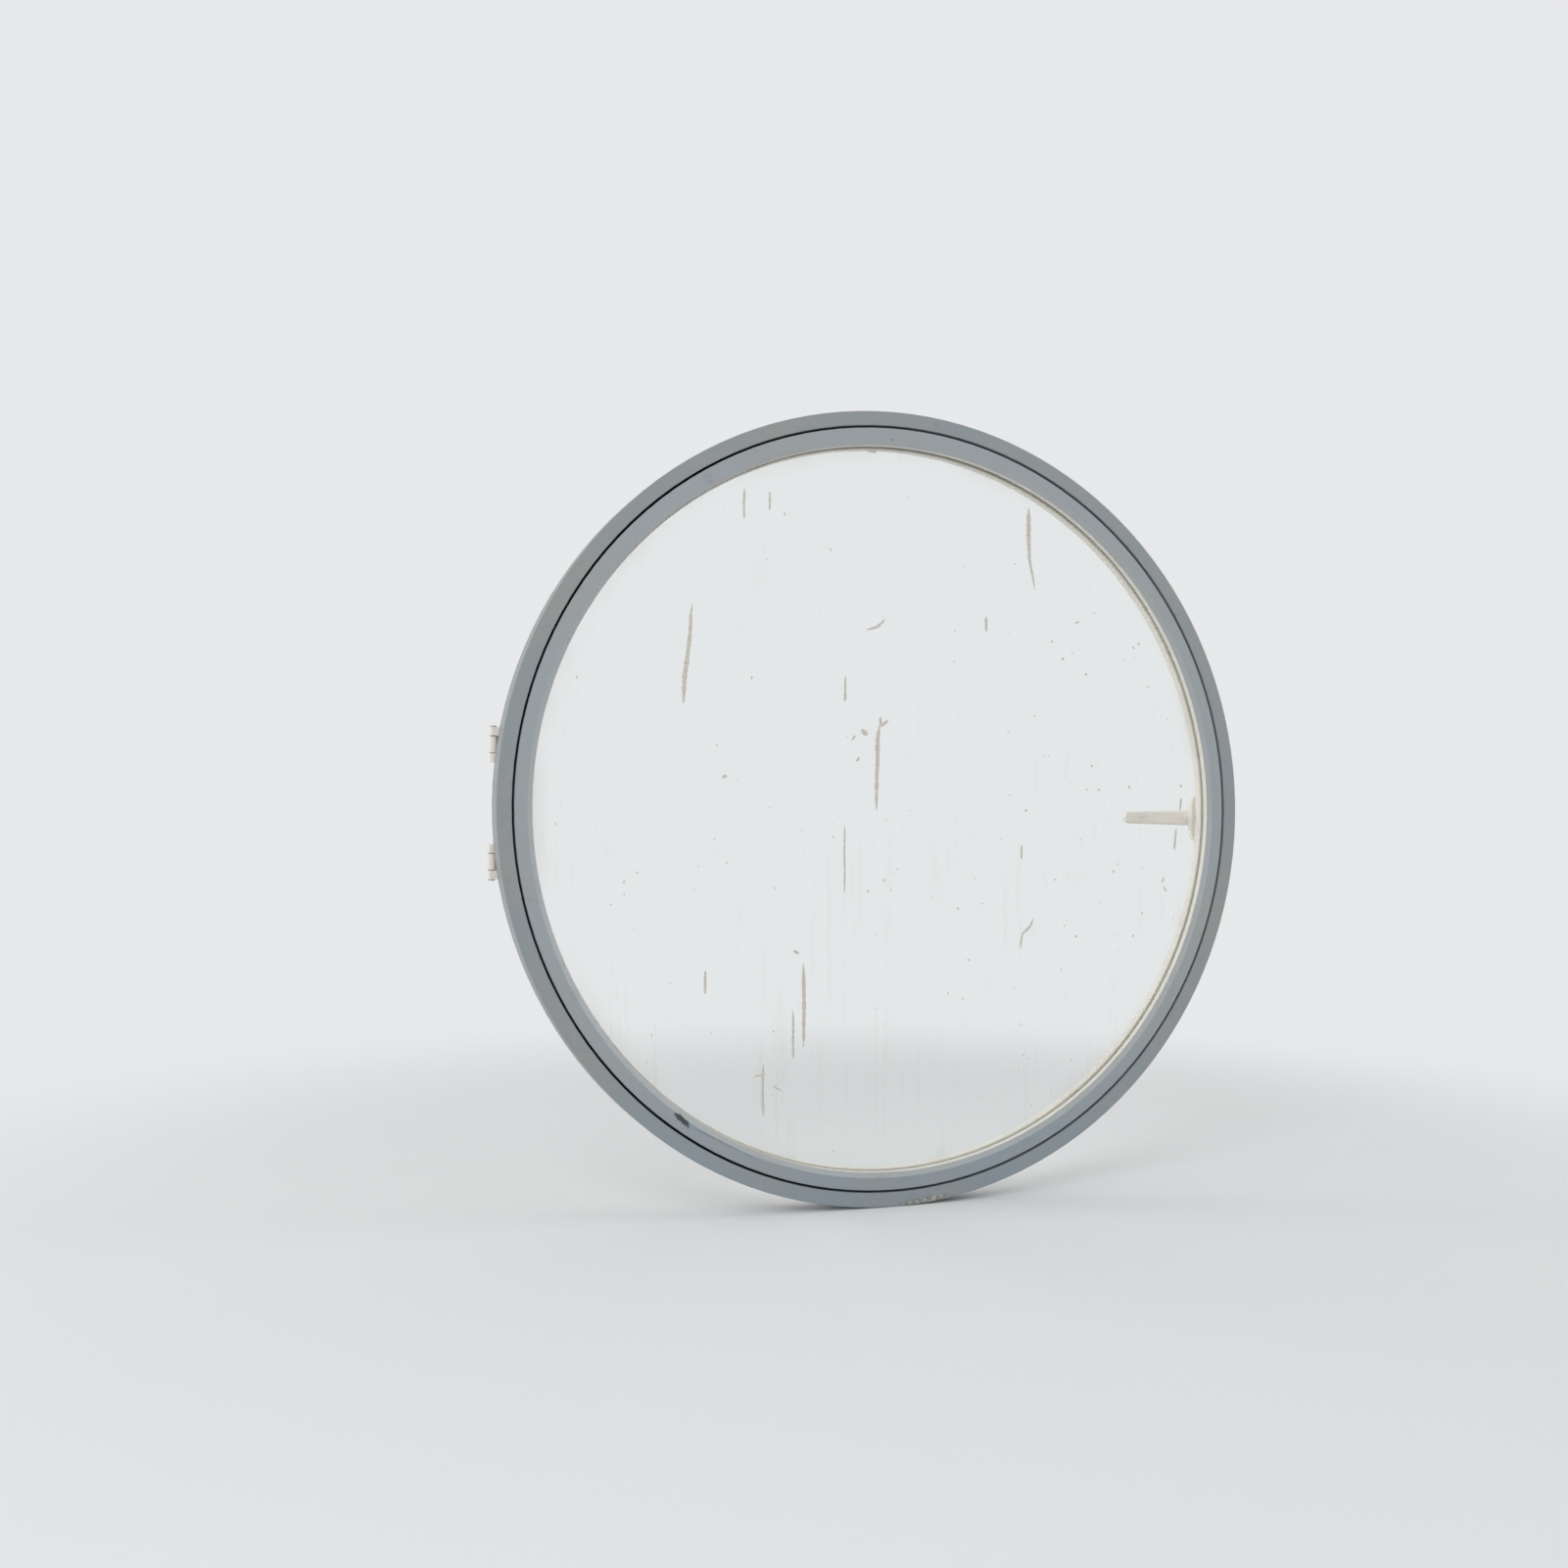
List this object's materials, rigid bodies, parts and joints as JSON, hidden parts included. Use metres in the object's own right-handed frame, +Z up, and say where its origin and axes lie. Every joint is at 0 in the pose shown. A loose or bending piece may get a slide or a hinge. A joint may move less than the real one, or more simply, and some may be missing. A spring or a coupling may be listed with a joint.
{
  "type": "round casement window",
  "caption": "Round casement window with a fixed ring frame, a side-hung glazed ring sash and a lever handle that works bolts round its rim.",
  "frame": {"origin": "centre of the fixed ring, at mid depth of the ring", "axes": "+X right as seen from outdoors, +Y from outdoors into the room, +Z up"},
  "size_m": [1.3038, 0.104, 1.3],
  "materials": {
    "frame_coat": "light grey powder coat, satin",
    "sash_coat": "light grey powder coat, satin",
    "bead_coat": "off-white powder coat, satin",
    "handle_coat": "off-white powder coat, satin",
    "hinge_coat": "off-white powder coat, satin",
    "handle_cap": "off-white moulded",
    "glass": "clear float glass, splashed and streaked",
    "seal": "black extruded",
    "glazing_seal": "grey extruded",
    "hard_rubber": "moulded",
    "bare_aluminium": "mill finish",
    "steel": "zinc plated",
    "plastic_cap": "moulded",
    "bush_plastic": "moulded acetal"
  },
  "bodies": {
    "frame": {"frame_ring": "frame_coat", "frame_stop_seal": "seal", "frame_splice_blocks": "bare_aluminium", "frame_fixing_caps": "plastic_cap", "lock_keeps": "steel", "keep_screws": "steel", "hinge_frame_leaf_upper": "hinge_coat", "hinge_frame_leaf_lower": "hinge_coat", "hinge_pin_upper": "steel", "hinge_pin_lower": "steel", "hinge_frame_screws": "steel"},
    "sash": {"sash_ring": "sash_coat", "sash_overlap_seal": "seal", "sash_splice_blocks": "bare_aluminium", "glass_pane": "glass", "glazing_bead": "bead_coat", "glazing_seal_outdoor": "glazing_seal", "glazing_seal_indoor": "glazing_seal", "setting_blocks": "hard_rubber", "handle_baseplate": "handle_coat", "handle_screws": "steel", "handle_screw_caps": "handle_cap", "hinge_sash_leaf_upper": "hinge_coat", "hinge_sash_leaf_lower": "hinge_coat", "hinge_bushes": "bush_plastic", "hinge_sash_screws": "steel"},
    "handle": {"handle_lever": "handle_coat", "handle_spindle": "steel", "handle_grub_screw": "steel"},
    "rack": {"rack_slider": "steel"},
    "drive": {"drive_link": "bare_aluminium", "drive_rod_upper": "bare_aluminium", "drive_rod_lower": "bare_aluminium", "lock_studs": "steel", "lock_sleeves": "steel"}
  },
  "joints": [
    {"name": "sash_hinge", "type": "hinge", "parent": "frame", "child": "sash", "pos_m": [-0.648, 0.033, 0], "axis": [0, 0, 1], "range_deg": [0, 90]},
    {"name": "handle_turn", "type": "hinge", "parent": "sash", "child": "handle", "pos_m": [0.61486, 0.034, -0.013], "axis": [0, -1, 0], "range_deg": [0, 90]},
    {"name": "rack_slide", "type": "slide", "parent": "sash", "child": "rack", "axis": [0.0211, 0, 0.9998], "range_m": [0, 0.01414]},
    {"name": "drive_turn", "type": "hinge", "parent": "sash", "child": "drive", "pos_m": [0, 0, 0], "axis": [0, -1, 0], "range_deg": [0, 1.29]}
  ],
  "couplings": [
    {"joint": "rack_slide", "follows": "handle_turn", "m_per_rad": 0.009},
    {"joint": "drive_turn", "follows": "handle_turn", "ratio": 0.014384}
  ]
}
